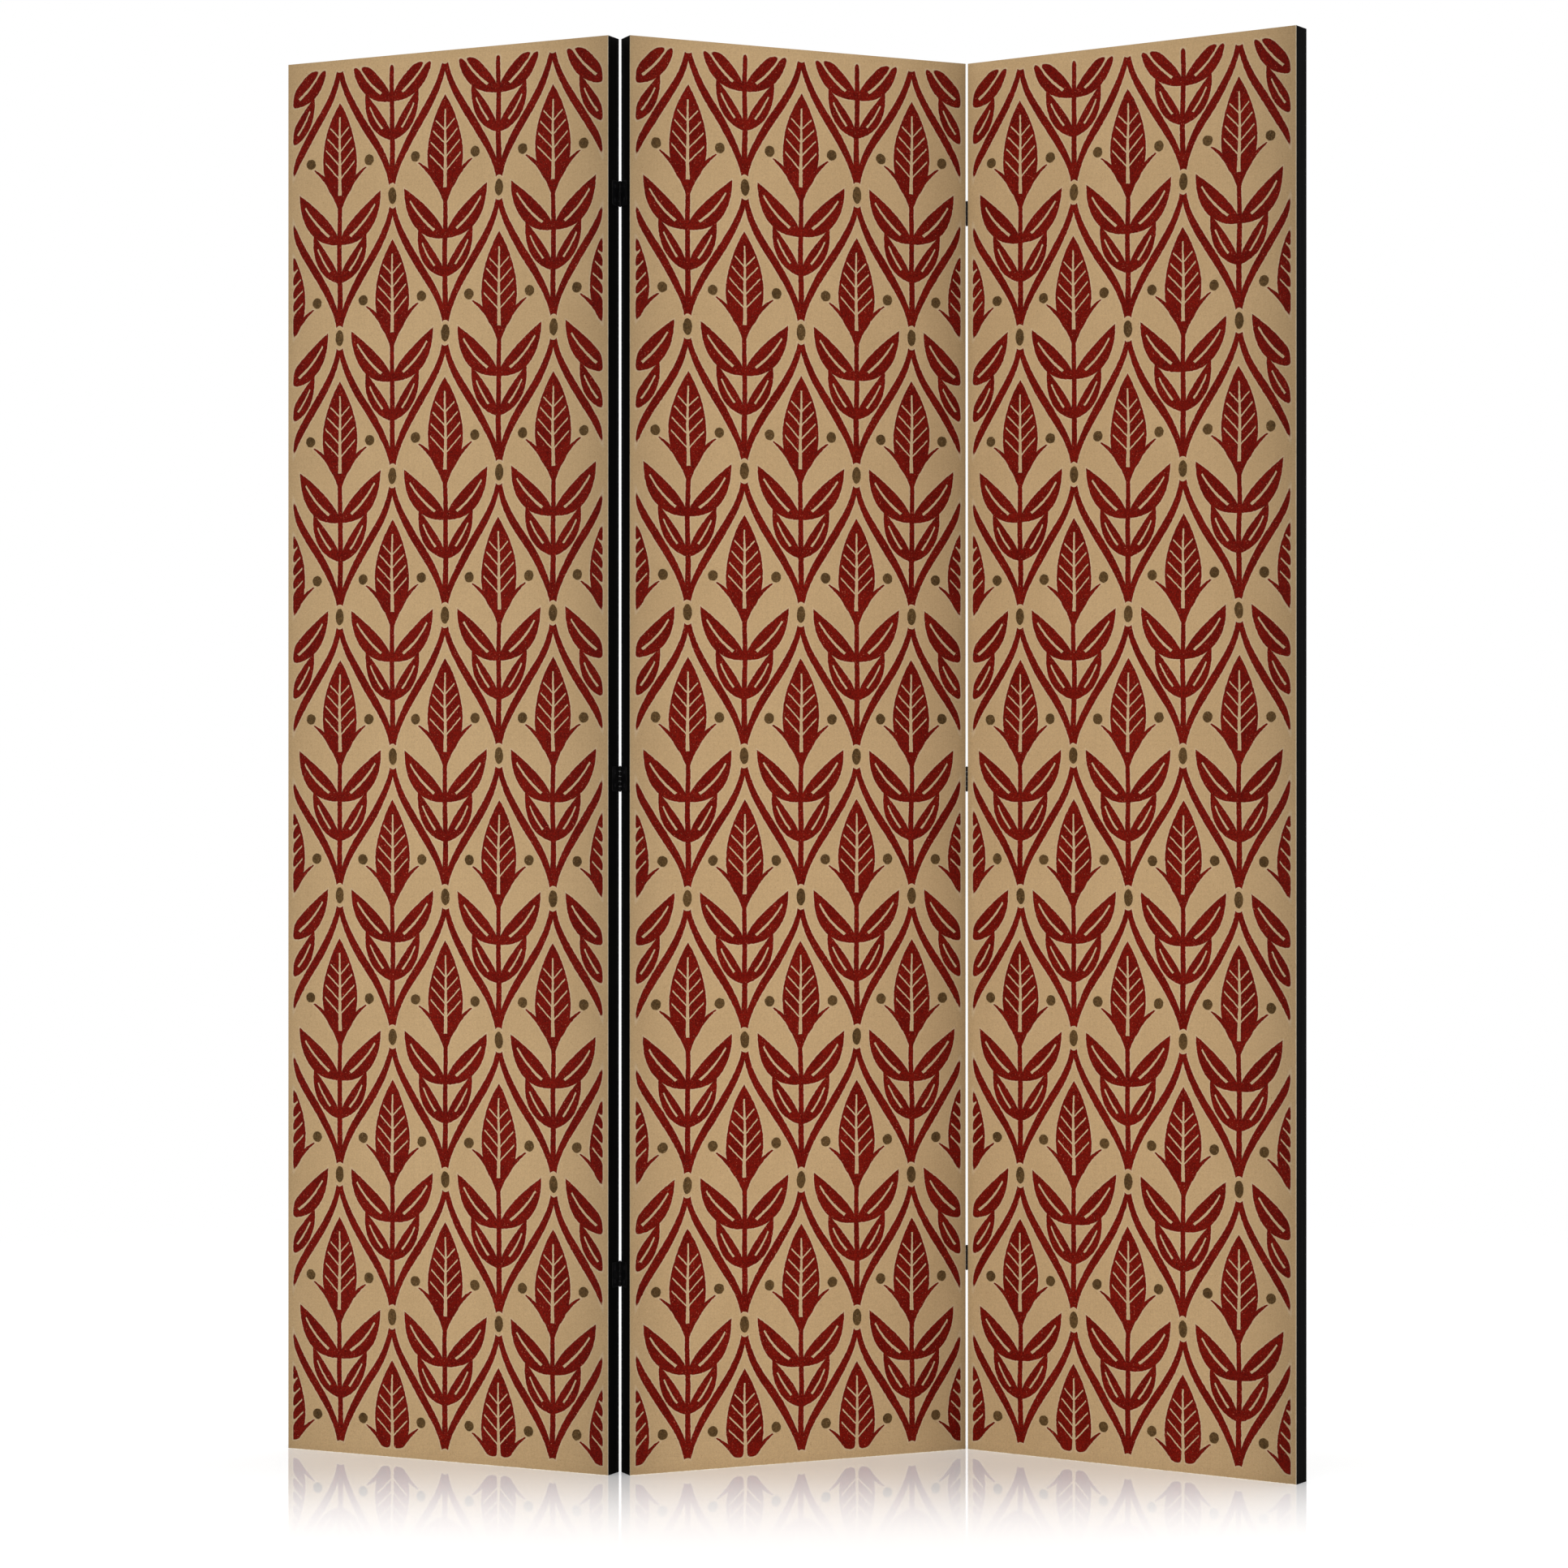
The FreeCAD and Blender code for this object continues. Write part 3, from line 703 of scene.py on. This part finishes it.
stainLook = {
    "black": tint(4, 4, 4), "blackWarm": tint(12, 11, 10), "pore": tint(3, 3, 3), "rubbed": tint(40, 32, 26),
    "specular": 0.03,
    "rings": 210.0,  # per metre
    "cloud": 9.0,  # noise scale
    "warm": (0.6, 0.3),  # shares of streaks and clouds
    "pores": 0.8,  # share
    "rub": (0.0012, 0.55),  # metres from an edge, amount
    "roughness": (0.62, 0.16, 0.1, 0.12),  # base, more with streaks, clouds and pores
    "bump": (0.4, 0.00025),  # strength, metres
}


def makeStain(name, turn):
    material, tree, shader, coords = newMaterial(name, stainLook["specular"])
    spot = coords.outputs["Object"]
    grain = place(tree, timberGrain, Vector=mapped(tree, spot, turn=turn), Rings=stainLook["rings"])
    cloud = noiseValue(tree, spot, stainLook["cloud"], detail=3.0, roughness=0.6)
    streakWarm, cloudWarm = stainLook["warm"]
    warm = grain["Streak"] * streakWarm + cloud.step(0.35, 0.75) * cloudWarm
    colour = mixColour(tree, warm, stainLook["black"], stainLook["blackWarm"])
    colour = mixColour(tree, grain["Pore"] * stainLook["pores"], colour, stainLook["pore"])
    radius, amount = stainLook["rub"]
    rub = place(tree, edgeRub, Vector=spot, Radius=radius, Amount=amount)["Mask"]
    colour = mixColour(tree, rub, colour, stainLook["rubbed"])
    plug(tree, shader.inputs["Base Color"], colour)
    base, streakMore, cloudMore, poreMore = stainLook["roughness"]
    rough = grain["Streak"] * streakMore + cloud * cloudMore + grain["Pore"] * poreMore + base
    plug(tree, shader.inputs["Roughness"], rough)
    addBump(tree, shader, grain["Height"], *stainLook["bump"])
    return material


def dress(name, material):
    for slot in cadNodes[name].material_slots:
        slot.material = material


stileStain = makeStain("stileStain", (0, 0, 0))
for panel, degrees in panelTurn.items():
    # rails: turn the panel straight, then its length onto the grain
    lay = Matrix.Rotation(math.pi / 2, 3, "Y") @ Matrix.Rotation(-math.radians(degrees), 3, "Z")
    railStain = makeStain(panel + "_railStain", tuple(lay.to_euler("XYZ")))
    for bar in ("_left_stile", "_right_stile"):
        dress(panel + bar, stileStain)
    for bar in ("_top_rail", "_bottom_rail", "_upper_cross_rail", "_lower_cross_rail"):
        dress(panel + bar, railStain)
print("bars stained")


# beech for the dowels

dowelLook = {
    "beech": tint(206, 167, 122), "beechDeep": tint(178, 134, 92), "ray": tint(140, 96, 62),
    "specular": 0.35,
    "rings": 320.0,  # per metre
    "rays": (700.0, 0.16, 0.25, 0.6),  # noise scale, cover, stretch along the grain, share
    "roughness": (0.5, 0.2),  # base, more with streaks
    "bump": (0.3, 0.0002),  # strength, metres
}


def makeBeech():
    material, tree, shader, coords = newMaterial("beechDowel", dowelLook["specular"])
    spot = mapped(tree, coords.outputs["Object"], turn=(0, math.pi / 2, 0))
    grain = place(tree, timberGrain, Vector=spot, Rings=dowelLook["rings"])
    scale, cover, stretch, share = dowelLook["rays"]
    ray = mapped(tree, spot, scale=(1, 1, stretch))
    ray = place(tree, speckle, Vector=ray, Scale=scale, Cover=cover)["Mask"]
    colour = mixColour(tree, grain["Streak"], dowelLook["beech"], dowelLook["beechDeep"])
    colour = mixColour(tree, ray * share, colour, dowelLook["ray"])
    plug(tree, shader.inputs["Base Color"], colour)
    base, streakMore = dowelLook["roughness"]
    plug(tree, shader.inputs["Roughness"], grain["Streak"] * streakMore + base)
    addBump(tree, shader, grain["Height"], *dowelLook["bump"])
    return material


beech = makeBeech()
for panel in panelTurn:
    dress(panel + "_dowels", beech)
print("dowels finished")


# black enamel on the hinges, black zinc on the screws

hingeLook = {
    "enamel": tint(10, 10, 11), "worn": tint(27, 26, 26), "steel": tint(120, 117, 112),
    "specular": 0.12,
    "peel": 1500.0,  # noise scale
    "haze": 110.0,  # noise scale
    "rub": (6, 0.0003, 0.5),  # scale of the patches, metres from an edge, amount
    "roughness": (0.28, 0.3, 0.08),  # base, more with haze and peel
    "bump": (0.25, 0.00005),  # strength, metres
}
screwLook = {
    "zinc": tint(15, 15, 17), "facet": tint(34, 33, 36), "steel": tint(120, 117, 112),
    "specular": 0.2,
    "crystal": 2200.0,  # noise scale
    "haze": 300.0,  # noise scale
    "rub": (9, 0.0002, 0.7),  # scale of the patches, metres from an edge, amount
    "roughness": (0.3, 0.25, 0.1),  # base, more with haze and crystals
    "bump": (0.2, 0.00004),  # strength, metres
}


def finishMetal(tree, shader, spot, look, colour, haze, relief):
    # edges rubbed to the steel, uneven gloss and fine relief
    scale, radius, amount = look["rub"]
    patches = mapped(tree, spot, scale=(scale, scale, scale))
    rub = place(tree, edgeRub, Vector=patches, Radius=radius, Amount=amount)["Mask"]
    plug(tree, shader.inputs["Base Color"], mixColour(tree, rub, colour, look["steel"]))
    plug(tree, shader.inputs["Metallic"], rub)
    base, hazeMore, reliefMore = look["roughness"]
    plug(tree, shader.inputs["Roughness"], haze * hazeMore + relief * reliefMore + base)
    addBump(tree, shader, relief, *look["bump"])


def makeEnamel():
    material, tree, shader, coords = newMaterial("hingeEnamel", hingeLook["specular"])
    spot = coords.outputs["Object"]
    peel = noiseValue(tree, spot, hingeLook["peel"], detail=2.0, roughness=0.5)
    haze = noiseValue(tree, spot, hingeLook["haze"], detail=4.0, roughness=0.6)
    colour = mixColour(tree, haze.step(0.4, 0.75), hingeLook["enamel"], hingeLook["worn"])
    finishMetal(tree, shader, spot, hingeLook, colour, haze, peel)
    return material


def makeZinc():
    material, tree, shader, coords = newMaterial("screwZinc", screwLook["specular"])
    spot = coords.outputs["Object"]
    crystal = noiseValue(tree, spot, screwLook["crystal"], detail=3.0, roughness=0.6)
    haze = noiseValue(tree, spot, screwLook["haze"], detail=3.0, roughness=0.6)
    colour = mixColour(tree, crystal.step(0.35, 0.7), screwLook["zinc"], screwLook["facet"])
    finishMetal(tree, shader, spot, screwLook, colour, haze, crystal)
    return material


enamel, zinc = makeEnamel(), makeZinc()
for fold in ("left_hinge", "right_hinge"):
    for level in ("bottom", "middle", "top"):
        for metal in ("fixed_leaf", "swing_leaf", "pin"):
            dress(fold + "_" + level + "_" + metal, enamel)
    dress(fold + "_fixed_screws", zinc)
    dress(fold + "_swing_screws", zinc)
print("hinges and screws finished")


# floor, world, lamps and camera, in metres

floorLook = {
    "radius": 7.0, "corners": 96, "white": tint(250, 250, 250),
    "blur": 0.03,  # roughness of the mirror
    "shine": 0.67,  # mirror share where the screen stands
    "shineReach": (0.0, 0.56),  # from the middle, front to back
    "shineSide": (0.7, 1.1),  # from the middle, to the sides
    "lift": (0.3, 0.4),  # own light seen by the camera, and more of it at the foot of the screen
    "edge": (1.7, 2.8),  # over which the floor turns to the background
}


def seenRays(tree):
    # rays of the camera, and with them those that show what a mirror or glass does
    ray = tree.nodes.new("ShaderNodeLightPath")
    camera = Wire(tree, ray.outputs["Is Camera Ray"])
    seen = camera.high(ray.outputs["Is Glossy Ray"]).high(ray.outputs["Is Transmission Ray"])
    return camera, seen


def joinShaders(tree, kind, *parts):
    node = tree.nodes.new(kind)
    for socket, part in zip(node.inputs, parts):
        plug(tree, socket, part)
    return node.outputs[0]


def makeFloor():
    bpy.ops.object.select_all(action="DESELECT")
    bpy.ops.mesh.primitive_circle_add(
        vertices=floorLook["corners"], radius=floorLook["radius"], fill_type="NGON"
    )
    floor = bpy.context.active_object
    floor.name = "floor"
    material = bpy.data.materials.new("paleFloor")
    material.use_nodes = True
    tree = material.node_tree
    tree.nodes.clear()
    coords = tree.nodes.new("ShaderNodeTexCoord")
    x, y = split(tree, coords.outputs["Object"])[:2]
    camera, seen = seenRays(tree)
    # matt white, partly mirroring under the screen
    matt = tree.nodes.new("ShaderNodeBsdfDiffuse")
    matt.inputs["Color"].default_value = floorLook["white"]
    mirror = tree.nodes.new("ShaderNodeBsdfGlossy")
    mirror.inputs["Roughness"].default_value = floorLook["blur"]
    near, far = floorLook["shineReach"]
    inner, outer = floorLook["shineSide"]
    shine = abs(y).step(far, near) * abs(x).step(outer, inner) * floorLook["shine"]
    surface = joinShaders(tree, "ShaderNodeMixShader", shine, matt.outputs[0], mirror.outputs[0])
    # a little light of its own for the camera, so that the lit floor is as white as the background
    lift = tree.nodes.new("ShaderNodeEmission")
    every, foot = floorLook["lift"]
    raised = shine * (foot / floorLook["shine"]) + every
    plug(tree, lift.inputs["Strength"], (1.0 - shine) * raised * camera)
    surface = joinShaders(tree, "ShaderNodeAddShader", surface, lift.outputs[0])
    # further out it turns to the background
    glow = tree.nodes.new("ShaderNodeEmission")
    away = length2(x, y).step(*floorLook["edge"]) * seen
    surface = joinShaders(tree, "ShaderNodeMixShader", away, surface, glow.outputs[0])
    leave = tree.nodes.new("ShaderNodeOutputMaterial")
    plug(tree, leave.inputs["Surface"], surface)
    floor.data.materials.append(material)


worldLook = {"seen": 1.0, "light": 0.78}


def makeWorld():
    world = bpy.data.worlds.new("studio")
    world.use_nodes = True
    bpy.context.scene.world = world
    tree = world.node_tree
    back = tree.nodes["Background"]
    back.inputs["Color"].default_value = (1, 1, 1, 1)
    seen = seenRays(tree)[1]
    strength = seen * (worldLook["seen"] - worldLook["light"]) + worldLook["light"]
    plug(tree, back.inputs["Strength"], strength)


lampSet = [
    # name, place, aim, width and height of the panel of light, watts
    ("frontSoftbox", (0.1, -5.6, 0.95), (0, 0, 0.75), (4.6, 1.7), 63),
    ("footSoftbox", (0, -1.7, 0.14), (0, 0, 0.12), (2.4, 0.2), 7),
    ("topSoftbox", (0.3, -0.6, 4.4), (0, 0, 0.6), (3.4, 3.0), 11),
]


def makeLamps():
    for name, spot, aim, size, watts in lampSet:
        bpy.ops.object.light_add(type="AREA", location=spot)
        lamp = bpy.context.active_object
        lamp.name = name
        lamp.data.shape = "RECTANGLE"
        lamp.data.size, lamp.data.size_y = size
        lamp.data.energy = watts
        lamp.visible_glossy = False  # no lamp mirrored in the floor
        lamp.visible_camera = False
        lamp.rotation_euler = (Vector(aim) - Vector(spot)).to_track_quat("-Z", "Y").to_euler()


photoView = {"place": (-0.00119, -4.76415, 0.82581), "lens": 90.1, "sensor": 36.0}


def makeCamera():
    # level, looking along +Y
    bpy.ops.object.camera_add(location=photoView["place"], rotation=(math.pi / 2, 0, 0))
    camera = bpy.context.active_object
    camera.name = "photoCamera"
    camera.data.lens = photoView["lens"]
    camera.data.sensor_width = photoView["sensor"]
    bpy.context.scene.camera = camera


makeFloor()
makeWorld()
makeLamps()
makeCamera()
bpy.context.scene.view_settings.view_transform = "Standard"
print("stage set")
